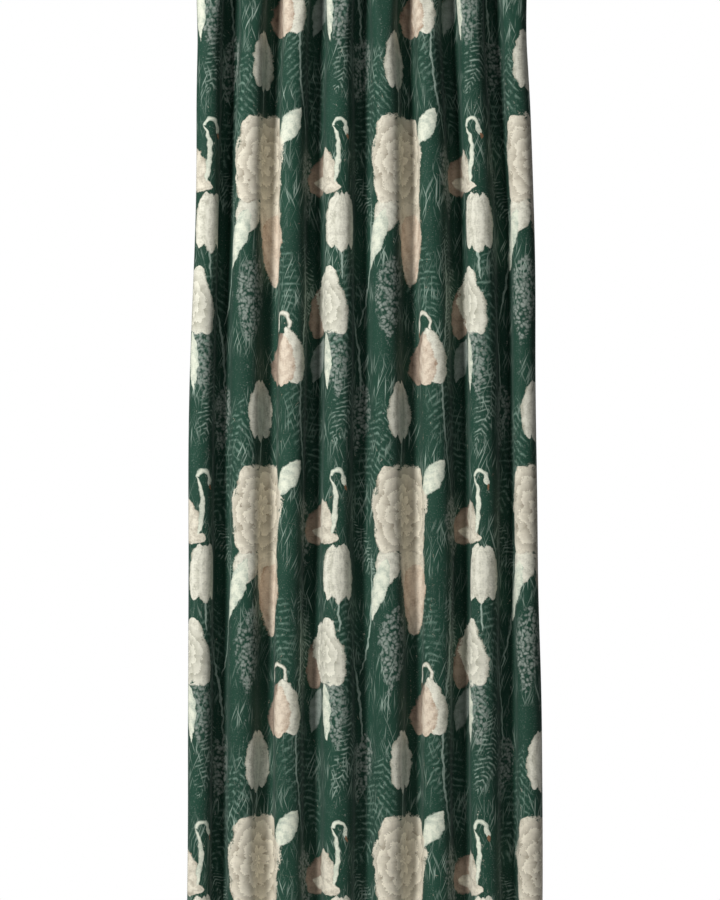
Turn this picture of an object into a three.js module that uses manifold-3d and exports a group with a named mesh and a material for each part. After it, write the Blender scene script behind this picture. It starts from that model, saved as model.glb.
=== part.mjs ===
// A fabric shower curtain with a turned heading and a weighted hem, hung in deep folds from hinged snap rings.
// Millimetres, +Z up, the front of the curtain towards -Y.
// The origin is on the centre line of the rod that carries the rings, half way along the curtain.
import * as THREE from "three";
import { mergeVertices } from "three/addons/utils/BufferGeometryUtils.js";
import Module from "manifold-3d";

const wasm = await Module();
wasm.setup();

// ---------------------------------------------------------------- driving dimensions
const GAP = 0.3; // between pieces that touch

const ROD_RADIUS = 12.5; // the rod is not part of the curtain

const CLOTH_WIDTH = 1200; // flat, edge to edge
const CLOTH_HEIGHT = 2000; // finished height, top of the heading to the foot of the hem
const CLOTH_THICKNESS = 0.6;
const HEADING_HEIGHT = 40; // the turned layer behind the top edge
const HEM_HEIGHT = 30; // the turned layer behind the foot

const EYELET_COUNT = 8;
const EYELET_SIDE_INSET = 40; // side edge of the flat cloth to the first eyelet
const EYELET_TOP_INSET = 20; // top edge of the cloth to the eyelets' centres
const EYELET_BORE_RADIUS = 6;
const EYELET_BARREL_WALL = 0.8;
const EYELET_FLANGE_RADIUS = 12;
const EYELET_FLANGE_THICKNESS = 1;
const WASHER_THICKNESS = 0.8;
const WASHER_RIM = 4.4; // radial width of the washer
const LIP_RIM = 1.4; // how far the rolled lip reaches over the washer
const LIP_THICKNESS = 0.7;

const INTERLINING_THICKNESS = 0.5;
const WEIGHT_CORD_RADIUS = 1.5;

const PITCH_AT_HEADING = 89; // eyelet to eyelet as the curtain hangs
const PITCH_AT_HEM = 97.5; // crest to crest at the foot
const CREST_MARGIN = 1; // flat cloth beyond the eyelet's flange
const CREST_FADE = 160; // below the heading, where the flat crests turn round
const LEAN_LENGTH = 500; // below the heading, where the folds come to hang under the rod

const RING_RADIUS = 25; // centre line
const RING_TUBE_RADIUS = 2.5;
const KNUCKLE_RADIUS = 3.8;
const TONGUE_WIDTH = 2;
const EAR_WIDTH = 1.9;
const PIN_RADIUS = 1;
const PIN_HEAD_RADIUS = 1.8;
const PIN_HEAD_THICKNESS = 0.5;
const NOSE_RADIUS = 1.1; // on the gate's free end, which snaps into the body's socket
const NOSE_LENGTH = 3.2;
const THUMB_TAB = [4.4, 2.6, 1.6]; // width, reach and thickness of the tab that opens the gate

// ---------------------------------------------------------------- places worked out from them
const FLAT_PITCH = (CLOTH_WIDTH - 2 * EYELET_SIDE_INSET) / (EYELET_COUNT - 1);
const SLOT = INTERLINING_THICKNESS + 2 * GAP; // between the heading's two layers
const STACK = 2 * CLOTH_THICKNESS + SLOT; // heading thickness, front face to back face
const BARREL_RADIUS = EYELET_BORE_RADIUS + EYELET_BARREL_WALL;
const CLOTH_HOLE_RADIUS = BARREL_RADIUS + GAP;
const CREST_FLAT = EYELET_FLANGE_RADIUS + CREST_MARGIN; // half width of the flat crest

const RING_INNER_RADIUS = RING_RADIUS - RING_TUBE_RADIUS;
const RING_Z = ROD_RADIUS - RING_INNER_RADIUS; // the ring's top rests on the rod
const EYELET_HALF_DEPTH = STACK / 2 + EYELET_FLANGE_THICKNESS + LIP_THICKNESS + WASHER_THICKNESS;
const SEAT_Z = RING_Z - Math.sqrt(RING_INNER_RADIUS ** 2 - EYELET_HALF_DEPTH ** 2); // ring's lower inside
const EYELET_Z = SEAT_Z + GAP - EYELET_BORE_RADIUS;
const TOP_Z = EYELET_Z + EYELET_TOP_INSET;
const FOOT_Z = TOP_Z - CLOTH_HEIGHT;
const STACK_MIDDLE = STACK / 2; // the cloth stands back by this much, so the ring's plane is central

// ---------------------------------------------------------------- materials
const plain = (color, roughness, metalness) =>
  new THREE.MeshStandardMaterial({ color, roughness, metalness });
const cloth = plain(0x1c3d31, 0.85, 0);
const stiffener = plain(0xe8e6df, 0.9, 0);
const weighting = plain(0x8d9094, 0.6, 0.4);
const ringPlastic = plain(0xf2f1ec, 0.35, 0);
const nickel = plain(0xc9c9c6, 0.25, 1);

// ---------------------------------------------------------------- solids
const group = new THREE.Group();

function solid(geometry) {
  const bare = geometry.index ? geometry.toNonIndexed() : geometry.clone();
  bare.deleteAttribute("normal");
  bare.deleteAttribute("uv");
  const merged = mergeVertices(bare, 1e-4);
  return new wasm.Manifold(
    new wasm.Mesh({
      numProp: 3,
      vertProperties: merged.attributes.position.array,
      triVerts: new Uint32Array(merged.index.array),
    }),
  );
}

function geometryOf(manifold) {
  const { vertProperties, triVerts } = manifold.getMesh();
  const geometry = new THREE.BufferGeometry();
  geometry.setAttribute("position", new THREE.BufferAttribute(vertProperties, 3));
  geometry.setIndex(new THREE.BufferAttribute(triVerts, 1));
  return geometry;
}

function addMesh(name, geometry, material, place = new THREE.Vector3()) {
  const mesh = new THREE.Mesh(geometry, material);
  mesh.name = name;
  mesh.position.copy(place);
  group.add(mesh);
  return mesh;
}

// A cylinder about an axis through a point: x for pins, y for eyelet holes, z for the gate's nose.
function rod(axis, radius, length, centre, sides) {
  const geometry = new THREE.CylinderGeometry(radius, radius, length, sides);
  if (axis === "x") geometry.rotateZ(Math.PI / 2);
  if (axis === "z") geometry.rotateX(Math.PI / 2);
  geometry.translate(...centre);
  return solid(geometry);
}

// The same for cutting: its flats, not its corners, stand at the radius.
function bore(axis, radius, length, centre, sides) {
  return rod(axis, radius / Math.cos(Math.PI / sides), length, centre, sides);
}

function box(size, centre) {
  const geometry = new THREE.BoxGeometry(...size);
  geometry.translate(...centre);
  return solid(geometry);
}

// ---------------------------------------------------------------- how the cloth hangs
const smooth = (t) => {
  const s = Math.min(1, Math.max(0, t));
  return s * s * (3 - 2 * s);
};

// Half a fold at one height: a flat crest, then a wall whose direction swings back and forth.
// The wall is length long, and its direction at share t is swing * sin(pi t).
const WALL_STEPS = 48;
function wallReach(length, swing, share) {
  let x = 0;
  let y = 0;
  const step = share / WALL_STEPS;
  for (let i = 0; i < WALL_STEPS; i++) {
    const angle = swing * Math.sin(Math.PI * (i + 0.5) * step);
    x += length * step * Math.cos(angle);
    y += length * step * Math.sin(angle);
  }
  return { x, y };
}

// The swing that brings a wall of this length in to this width.
function swingFor(length, width) {
  let low = 0;
  let high = 2.2;
  for (let i = 0; i < 40; i++) {
    const middle = (low + high) / 2;
    if (wallReach(length, middle, 1).x > width) low = middle;
    else high = middle;
  }
  return low;
}

// The folds' measures at one height.
function levelAt(z) {
  const below = Math.max(0, TOP_Z - HEADING_HEIGHT - z);
  const spread = 1 - (1 - below / (CLOTH_HEIGHT - HEADING_HEIGHT)) ** 2;
  const pitch = PITCH_AT_HEADING + (PITCH_AT_HEM - PITCH_AT_HEADING) * spread;
  const crest = CREST_FLAT * (1 - smooth(below / CREST_FADE));
  const wall = FLAT_PITCH / 2 - crest;
  const swing = swingFor(wall, pitch / 2 - crest);
  const lean = (-wallReach(wall, swing, 1).y / 2) * smooth(below / LEAN_LENGTH);
  return { pitch, crest, wall, swing, lean };
}

const eyeletU = (k) => EYELET_SIDE_INSET + k * FLAT_PITCH;
const eyeletX = (k) => (k - (EYELET_COUNT - 1) / 2) * PITCH_AT_HEADING;

// The point of the hanging cloth that lies u along the flat cloth, n behind its front face, at height z.
function onCloth(level, u, n, z) {
  const nearest = Math.round((u - EYELET_SIDE_INSET) / FLAT_PITCH);
  const k = Math.min(EYELET_COUNT - 1, Math.max(0, nearest));
  const along = u - eyeletU(k);
  const side = along < 0 ? -1 : 1;
  const distance = Math.abs(along);
  const onWall = Math.max(0, distance - level.crest) / level.wall;
  const reach = wallReach(level.wall, level.swing, onWall);
  const angle = level.swing * Math.sin(Math.PI * onWall);
  const crestX = (k - (EYELET_COUNT - 1) / 2) * level.pitch;
  return new THREE.Vector3(
    crestX + side * (Math.min(distance, level.crest) + reach.x - n * Math.sin(angle)),
    level.lean + reach.y + n * Math.cos(angle) - STACK_MIDDLE,
    z,
  );
}

// The flat positions of the mesh's columns: the crest's edges and middle, and even steps between crests.
const WALL_COLUMNS = 8;
function clothColumns() {
  const columns = [0, EYELET_SIDE_INSET / 3];
  for (let k = 0; k < EYELET_COUNT; k++) {
    columns.push(eyeletU(k) - CREST_FLAT, eyeletU(k), eyeletU(k) + CREST_FLAT);
    const span = FLAT_PITCH - 2 * CREST_FLAT;
    for (let i = 1; i < WALL_COLUMNS && k < EYELET_COUNT - 1; i++)
      columns.push(eyeletU(k) + CREST_FLAT + (span * i) / WALL_COLUMNS);
  }
  columns.push(CLOTH_WIDTH - EYELET_SIDE_INSET / 3, CLOTH_WIDTH);
  return columns;
}

// A closed solid that carries one section, a loop of [n, z] points, from side edge to side edge.
function alongCloth(section) {
  const columns = clothColumns();
  const levels = new Map(section.map(([, z]) => [z, levelAt(z)]));
  const positions = [];
  for (const u of columns)
    for (const [n, z] of section) positions.push(...onCloth(levels.get(z), u, n, z).toArray());
  const count = section.length;
  const index = [];
  for (let c = 0; c + 1 < columns.length; c++)
    for (let i = 0; i < count; i++) {
      const next = (i + 1) % count;
      const a = c * count + i;
      const b = c * count + next;
      // Both faces of the cloth are split along the same diagonal, so its thickness is even.
      if (section[next][1] > section[i][1]) index.push(a, b + count, b, a, a + count, b + count);
      else index.push(a, a + count, b, b, a + count, b + count);
    }
  const outline = section.map(([n, z]) => new THREE.Vector2(n, z));
  const last = (columns.length - 1) * count;
  for (const [a, b, c] of THREE.ShapeUtils.triangulateShape(outline, []))
    index.push(a, c, b, last + a, last + b, last + c);
  const geometry = new THREE.BufferGeometry();
  geometry.setAttribute("position", new THREE.Float32BufferAttribute(positions, 3));
  geometry.setIndex(index);
  return geometry;
}

const EYELET_SIDES = 12;
function eyeletHoles() {
  return Array.from({ length: EYELET_COUNT }, (_, k) =>
    bore("y", CLOTH_HOLE_RADIUS, 8 * STACK, [eyeletX(k), 0, EYELET_Z], EYELET_SIDES),
  );
}

function pierced(geometry) {
  return eyeletHoles().reduce((rest, hole) => rest.subtract(hole), solid(geometry));
}

// ---------------------------------------------------------------- cloth pieces
// Depths below the top edge at which the folds' changing shape is followed.
const BODY_DEPTHS = [90, 150, 220, 330, 560, 1000];

// One length of cloth: its heading turned down behind, its foot turned up round the weight cord.
function curtainPanel() {
  const t = CLOTH_THICKNESS;
  const body = BODY_DEPTHS.map((depth) => TOP_Z - depth);
  const headingEnd = TOP_Z - HEADING_HEIGHT;
  const hemEnd = FOOT_Z + HEM_HEIGHT;
  const pocket = 2 * WEIGHT_CORD_RADIUS + 3 * GAP; // the hem's inside width at its foot, round the cord
  const section = [
    [0, FOOT_Z],
    [0, hemEnd],
    ...body.toReversed().map((z) => [0, z]),
    [0, headingEnd],
    [0, TOP_Z],
    [STACK, TOP_Z],
    [STACK, headingEnd],
    [STACK - t, headingEnd],
    [STACK - t, TOP_Z - t],
    [t, TOP_Z - t],
    [t, headingEnd],
    ...body.map((z) => [t, z]),
    [t, hemEnd],
    [t, FOOT_Z + t],
    [t + pocket, FOOT_Z + t],
    [t + GAP, hemEnd],
    [2 * t + GAP, hemEnd],
    [2 * t + pocket, FOOT_Z],
  ];
  addMesh("curtain_panel", geometryOf(pierced(alongCloth(section))), cloth);
}

// The strip between the heading's two layers, which keeps the eyelets from tearing out.
function headingInterlining() {
  const near = CLOTH_THICKNESS + GAP;
  const far = near + INTERLINING_THICKNESS;
  const top = TOP_Z - CLOTH_THICKNESS - GAP;
  const foot = TOP_Z - HEADING_HEIGHT;
  const section = [
    [near, foot],
    [near, top],
    [far, top],
    [far, foot],
  ];
  addMesh("heading_interlining", geometryOf(pierced(alongCloth(section))), stiffener);
}

// The weighted cord that lies loose in the hem and pulls the folds straight.
const CORD_SIDES = 5;
function hemWeightCord() {
  const n = CLOTH_THICKNESS + GAP + WEIGHT_CORD_RADIUS;
  const z = FOOT_Z + CLOTH_THICKNESS + GAP + WEIGHT_CORD_RADIUS;
  const section = Array.from({ length: CORD_SIDES }, (_, i) => {
    const angle = (-2 * Math.PI * i) / CORD_SIDES;
    return [n + WEIGHT_CORD_RADIUS * Math.cos(angle), z + WEIGHT_CORD_RADIUS * Math.sin(angle)];
  });
  addMesh("hem_weight_cord", alongCloth(section), weighting);
}

// ---------------------------------------------------------------- eyelets
const FLANGE_FRONT = -STACK_MIDDLE - GAP - EYELET_FLANGE_THICKNESS;
const WASHER_FRONT = STACK_MIDDLE + GAP;
const WASHER_BACK = WASHER_FRONT + WASHER_THICKNESS;
const LIP_FRONT = WASHER_BACK + GAP;

const turned = (profile, sides) =>
  new THREE.LatheGeometry(
    [...profile, profile[0]].map(([r, y]) => new THREE.Vector2(r, y)),
    sides,
  );

// Flange, barrel and rolled lip in one pressing, turned about the bore.
function eyeletGeometry() {
  const back = -STACK_MIDDLE - GAP;
  const chamfer = EYELET_FLANGE_THICKNESS / 2;
  return turned(
    [
      [EYELET_BORE_RADIUS, FLANGE_FRONT + chamfer],
      [EYELET_BORE_RADIUS + chamfer, FLANGE_FRONT],
      [EYELET_FLANGE_RADIUS - chamfer, FLANGE_FRONT],
      [EYELET_FLANGE_RADIUS, back],
      [BARREL_RADIUS, back],
      [BARREL_RADIUS, LIP_FRONT],
      [BARREL_RADIUS + LIP_RIM, LIP_FRONT],
      [BARREL_RADIUS, LIP_FRONT + LIP_THICKNESS],
      [EYELET_BORE_RADIUS, LIP_FRONT + LIP_THICKNESS / 2],
    ],
    EYELET_SIDES,
  );
}

function washerGeometry() {
  const inner = BARREL_RADIUS + GAP;
  return turned(
    [
      [inner, WASHER_FRONT],
      [inner + WASHER_RIM, WASHER_FRONT],
      [inner + WASHER_RIM - WASHER_THICKNESS / 2, WASHER_BACK],
      [inner, WASHER_BACK],
    ],
    EYELET_SIDES,
  );
}

// ---------------------------------------------------------------- snap rings
// Each ring stands in the Y-Z plane. Its body is the lower half, its gate the upper half.
// The gate turns on a pin at the front and snaps down into the body at the back.
const HINGE = new THREE.Vector3(0, -RING_RADIUS, RING_Z);
const EAR_CENTRE = TONGUE_WIDTH / 2 + GAP + EAR_WIDTH / 2;
const KNUCKLE_WIDTH = TONGUE_WIDTH + 2 * (GAP + EAR_WIDTH);
const TUBE_SIDES = 6;
const RING_STEPS = 10; // straight lengths in half a ring

class RingArc extends THREE.Curve {
  constructor(from, to) {
    super();
    this.from = from;
    this.to = to;
  }
  getPoint(t, target = new THREE.Vector3()) {
    const angle = this.from + (this.to - this.from) * t;
    return target.set(0, RING_RADIUS * Math.cos(angle), RING_Z + RING_RADIUS * Math.sin(angle));
  }
}

// Half a ring, from one angle to another, measured from the back over the top.
function halfRing(from, to, steps) {
  const section = new THREE.Shape(
    Array.from({ length: TUBE_SIDES }, (_, i) => {
      const angle = (2 * Math.PI * (i + 0.5)) / TUBE_SIDES;
      return new THREE.Vector2(RING_TUBE_RADIUS * Math.cos(angle), RING_TUBE_RADIUS * Math.sin(angle));
    }),
  );
  const path = new RingArc(from, to);
  return solid(new THREE.ExtrudeGeometry(section, { steps, extrudePath: path }));
}

const KNUCKLE_SIDES = 8;
const SMALL_SIDES = 6; // of the pin, the nose and their holes
const knuckle = (width, x) => rod("x", KNUCKLE_RADIUS, width, [x, HINGE.y, HINGE.z], KNUCKLE_SIDES);
const roundPin = (width, radius, x, sides) => bore("x", radius, width, [x, HINGE.y, HINGE.z], sides);
const PARTING = GAP / 2 / RING_RADIUS; // half the gap between the two halves, as an angle

function ringBodyGeometry() {
  const pinHole = roundPin(2 * KNUCKLE_WIDTH, PIN_RADIUS + GAP, 0, SMALL_SIDES);
  const tongueSlot = roundPin(TONGUE_WIDTH + 2 * GAP, KNUCKLE_RADIUS + GAP, 0, KNUCKLE_SIDES);
  const socketDepth = NOSE_LENGTH + GAP;
  const socketCentre = [0, RING_RADIUS, RING_Z];
  const socket = bore("z", NOSE_RADIUS + GAP, 2 * socketDepth, socketCentre, SMALL_SIDES);
  const body = halfRing(Math.PI, 2 * Math.PI - PARTING, RING_STEPS)
    .add(knuckle(EAR_WIDTH, EAR_CENTRE))
    .add(knuckle(EAR_WIDTH, -EAR_CENTRE))
    .subtract(tongueSlot)
    .subtract(pinHole)
    .subtract(socket);
  return geometryOf(body);
}

function ringGateGeometry() {
  const earWidth = EAR_WIDTH + 2 * GAP;
  const noseTop = RING_Z + RING_TUBE_RADIUS;
  const noseFoot = RING_Z - NOSE_LENGTH;
  const noseCentre = [0, RING_RADIUS, (noseTop + noseFoot) / 2];
  const nose = rod("z", NOSE_RADIUS, noseTop - noseFoot, noseCentre, SMALL_SIDES);
  const [width, reach, thickness] = THUMB_TAB;
  const tabY = RING_RADIUS + RING_TUBE_RADIUS / 2 + reach / 2;
  const tab = box([width, RING_TUBE_RADIUS + reach, thickness], [0, tabY, RING_Z + GAP + thickness]);
  const gate = halfRing(PARTING, Math.PI, RING_STEPS)
    .add(knuckle(TONGUE_WIDTH, 0))
    .subtract(roundPin(earWidth, KNUCKLE_RADIUS + GAP, EAR_CENTRE, KNUCKLE_SIDES))
    .subtract(roundPin(earWidth, KNUCKLE_RADIUS + GAP, -EAR_CENTRE, KNUCKLE_SIDES))
    .subtract(roundPin(2 * KNUCKLE_WIDTH, PIN_RADIUS + GAP, 0, SMALL_SIDES))
    .add(nose)
    .add(tab);
  return geometryOf(gate);
}

function ringPinGeometry() {
  const half = KNUCKLE_WIDTH / 2 + GAP;
  const end = half + PIN_HEAD_THICKNESS;
  const profile = [
    [0, -end],
    [PIN_HEAD_RADIUS, -end],
    [PIN_HEAD_RADIUS, -half],
    [PIN_RADIUS, -half],
    [PIN_RADIUS, half],
    [PIN_HEAD_RADIUS, half],
    [PIN_HEAD_RADIUS, end],
    [0, end],
  ].map(([r, y]) => new THREE.Vector2(r, y));
  const geometry = new THREE.LatheGeometry(profile, SMALL_SIDES);
  geometry.rotateZ(Math.PI / 2);
  geometry.translate(0, HINGE.y, HINGE.z);
  return geometry;
}

// ---------------------------------------------------------------- assembly
curtainPanel();
headingInterlining();
hemWeightCord();

const shared = {
  eyelet: eyeletGeometry(),
  washer: washerGeometry(),
  body: ringBodyGeometry(),
  gate: ringGateGeometry(),
  pin: ringPinGeometry(),
};
for (let k = 0; k < EYELET_COUNT; k++) {
  const atEyelet = new THREE.Vector3(eyeletX(k), 0, EYELET_Z);
  const atRing = new THREE.Vector3(eyeletX(k), 0, 0);
  addMesh(`eyelet_${k + 1}`, shared.eyelet, nickel, atEyelet);
  addMesh(`eyelet_washer_${k + 1}`, shared.washer, nickel, atEyelet);
  addMesh(`ring_body_${k + 1}`, shared.body, ringPlastic, atRing);
  addMesh(`ring_gate_${k + 1}`, shared.gate, ringPlastic, atRing);
  addMesh(`ring_pin_${k + 1}`, shared.pin, nickel, atRing);
}

export default group;
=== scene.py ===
"""A printed fabric shower curtain with eyelets, hinged snap rings and a weighted hem.

Everything is in metres, +Z up, with the printed face towards -Y. The origin is on the centre line
of the rod that carries the rings, half way along the curtain.
"""
import math

import bmesh
import bpy
import numpy as np
from bpy.props import FloatProperty, FloatVectorProperty, IntProperty, PointerProperty
from mathutils import Matrix, Vector


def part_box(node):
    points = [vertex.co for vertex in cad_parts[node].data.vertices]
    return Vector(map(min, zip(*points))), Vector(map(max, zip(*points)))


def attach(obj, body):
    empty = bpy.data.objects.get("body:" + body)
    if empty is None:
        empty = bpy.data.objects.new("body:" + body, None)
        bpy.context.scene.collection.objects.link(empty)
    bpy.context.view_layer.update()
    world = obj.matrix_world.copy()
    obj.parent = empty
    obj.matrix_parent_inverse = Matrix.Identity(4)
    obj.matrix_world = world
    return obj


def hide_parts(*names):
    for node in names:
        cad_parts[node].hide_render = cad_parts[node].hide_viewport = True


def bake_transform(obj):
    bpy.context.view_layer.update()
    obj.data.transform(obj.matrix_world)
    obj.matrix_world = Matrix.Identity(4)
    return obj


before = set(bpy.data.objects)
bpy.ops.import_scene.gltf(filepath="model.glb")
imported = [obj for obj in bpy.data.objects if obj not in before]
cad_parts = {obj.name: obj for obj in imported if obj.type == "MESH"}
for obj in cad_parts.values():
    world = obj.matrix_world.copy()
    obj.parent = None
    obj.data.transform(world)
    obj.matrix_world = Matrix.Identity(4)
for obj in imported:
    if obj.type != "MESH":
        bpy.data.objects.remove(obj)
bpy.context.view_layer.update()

bl_info = {
    "name": "Printed shower curtain",
    "version": (1, 0, 0),
    "blender": (4, 5, 0),
    "location": "3D View > Sidebar > Curtain",
    "description": "Builds a printed shower curtain with its eyelets, snap rings and weighted hem",
    "category": "Object",
}

MM = 0.001

# ------------------------------------------------------------------ the curtain's sizes
CLOTH_WIDTH = 1.2  # flat, edge to edge
CLOTH_HEIGHT = 2.0  # finished, top edge to foot
CLOTH_THICKNESS = 0.4 * MM
HEADING_HEIGHT = 40 * MM
HEM_HEIGHT = 30 * MM
SIDE_HEM_WIDTH = 10 * MM
HEADING_STACK = 2.3 * MM  # front face to back face, over the interlining
EYELET_COUNT = 8
SIDE_INSET = 40 * MM
TOP_INSET = 20 * MM
FLAT_PITCH = (CLOTH_WIDTH - 2 * SIDE_INSET) / (EYELET_COUNT - 1)
HEADING_PITCH = 89 * MM
FOOT_PITCH = 97.5 * MM
CREST_FLAT = 13 * MM
CREST_FADE = 0.16
LEAN_LENGTH = 0.5
HOLE_RADIUS = 7.8 * MM
CORD_RADIUS = 1.5 * MM
CORD_SIDES = 12
STRIP_HOLE_RADIUS = 7.3 * MM  # the interlining fits closer round the barrel than the cloth does
HEM_POCKET = 3.9 * MM  # inside width of the hem at its foot

TOP_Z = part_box("curtain_panel")[1][2]
EYELET_Z = TOP_Z - TOP_INSET
EYELET_X = [
    (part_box(f"eyelet_{k}")[0][0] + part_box(f"eyelet_{k}")[1][0]) / 2
    for k in range(1, EYELET_COUNT + 1)
]
RING_TUBE = 2.5 * MM
RING_RADIUS = 25 * MM
RING_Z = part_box("ring_body_1")[0][2] + RING_RADIUS + RING_TUBE

FIRST_BODY = "curtain"


# ------------------------------------------------------------------ settings that a user would change
class CurtainSettings(bpy.types.PropertyGroup):
    looseness: FloatProperty(
        name="Looseness", description="How far the folds wander below the heading",
        default=1.0, min=0, max=1.5, subtype="FACTOR")
    ground: FloatVectorProperty(
        name="Ground", description="Dyed ground of the print",
        default=(0.0095, 0.058, 0.034), size=3, min=0, max=1, subtype="COLOR")
    thread: FloatVectorProperty(
        name="Thread", description="Sewing thread",
        default=(0.012, 0.055, 0.036), size=3, min=0, max=1, subtype="COLOR")
    stitch_length: FloatProperty(
        name="Stitch length", description="Visible length of one stitch",
        default=2.9 * MM, min=0.5 * MM, unit="LENGTH")
    stitch_pitch: FloatProperty(
        name="Stitch pitch", description="From the start of one stitch to the next",
        default=3.6 * MM, min=0.6 * MM, unit="LENGTH")
    thread_radius: FloatProperty(
        name="Thread radius", description="Radius of the sewing thread",
        default=0.24 * MM, min=0.05 * MM, unit="LENGTH")


class HardwareSettings(bpy.types.PropertyGroup):
    ring_color: FloatVectorProperty(
        name="Ring colour", description="Moulded plastic of the snap rings",
        default=(0.80, 0.79, 0.76), size=3, min=0, max=1, subtype="COLOR")
    ring_roughness: FloatProperty(
        name="Ring roughness", description="Surface roughness of the snap rings",
        default=0.32, min=0, max=1, subtype="FACTOR")
    metal_color: FloatVectorProperty(
        name="Eyelet colour", description="Nickel plating of the eyelets",
        default=(0.66, 0.65, 0.61), size=3, min=0, max=1, subtype="COLOR")
    eyelet_segments: IntProperty(
        name="Eyelet segments", description="Steps round an eyelet", default=64, min=16, max=128)


class StageSettings(bpy.types.PropertyGroup):
    camera_distance: FloatProperty(
        name="Camera distance", description="Camera to the rod's plane", default=7.0, unit="LENGTH")
    view_height: FloatProperty(
        name="View height", description="Height that the camera takes in at the curtain",
        default=1.85, unit="LENGTH")
    view_middle: FloatProperty(
        name="View middle", description="Height of the middle of the view", default=-1.038,
        unit="LENGTH")
    floor_gap: FloatProperty(
        name="Floor gap", description="Hem to floor", default=0.15, unit="LENGTH")


# ------------------------------------------------------------------ how the cloth hangs
def smooth(t):
    s = np.clip(t, 0, 1)
    return s * s * (3 - 2 * s)


def bearing(share, skew):
    """A wall's direction, as a share of its swing. Skew rounds the crest and tightens the valley."""
    return np.sin(math.pi * share) - skew * np.sin(2 * math.pi * share)


class Wall:
    """Walls of cloth between a crest and a valley, all of one length and one skew.

    A wall starts and ends along X and turns away to the back between, by its swing at most.
    """

    swings = np.linspace(0, 2.1, 211)
    shares = np.linspace(0, 1, 129)

    def __init__(self, skew):
        self.skew = skew
        middles = (self.shares[1:] + self.shares[:-1]) / 2
        angles = self.swings[:, None] * bearing(middles, skew)
        start = np.zeros((len(self.swings), 1))
        self.x = np.hstack([start, np.cumsum(np.cos(angles), axis=1) / len(middles)])
        self.y = np.hstack([start, np.cumsum(np.sin(angles), axis=1) / len(middles)])

    def swing(self, width):
        """The swing of a wall whose width is this share of its length."""
        return np.interp(width, self.x[::-1, -1], self.swings[::-1])

    def depth(self, length, width):
        return length * np.interp(width / length, self.x[::-1, -1], self.y[::-1, -1])

    def point(self, swing, share):
        """How far along and back a wall of length 1 has come at this share of it."""
        row = np.clip(swing / self.swings[1], 0, len(self.swings) - 1.001)
        column = np.clip(share, 0, 1) * (len(self.shares) - 1.001)
        i, j = row.astype(int), column.astype(int)
        a, b = row - i, column - j
        found = []
        for table in (self.x, self.y):
            low = table[i, j] * (1 - b) + table[i, j + 1] * b
            high = table[i + 1, j] * (1 - b) + table[i + 1, j + 1] * b
            found.append(low * (1 - a) + high * a)
        return found


# How the folds wander once they have let go of the eyelets: spare cloth in each fold, the shift
# of each crest along X and towards the back, and the shift of each valley along X.
FOLD_SPARE = np.array([-5, -7, 15, -8, -6, 17, -6]) * MM
CREST_SHIFT = np.array([6, -2, -5, 1, 6, 9, 11, 4]) * MM
CREST_PUSH = np.array([0, 3, -2, -4, 2, 3, -4, 1]) * MM
VALLEY_SHIFT = np.array([-5, 4, -3, -3, 2, 3, 5]) * MM
WAVE_LENGTH = 1.35
WAVE_PHASE = np.array([0.3, 1.9, 4.0, 5.2, 0.9, 2.7, 3.6, 5.9])
WAVE_SIZE = 2.4 * MM
WANDER_FADE = 0.55  # below the heading, where the folds come to wander fully
SKEW_FADE = 0.3  # below the heading, where the valleys come to be fully tighter
VALLEY_SKEW = 0.17  # how much tighter the valleys are than the crests, below the heading


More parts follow.
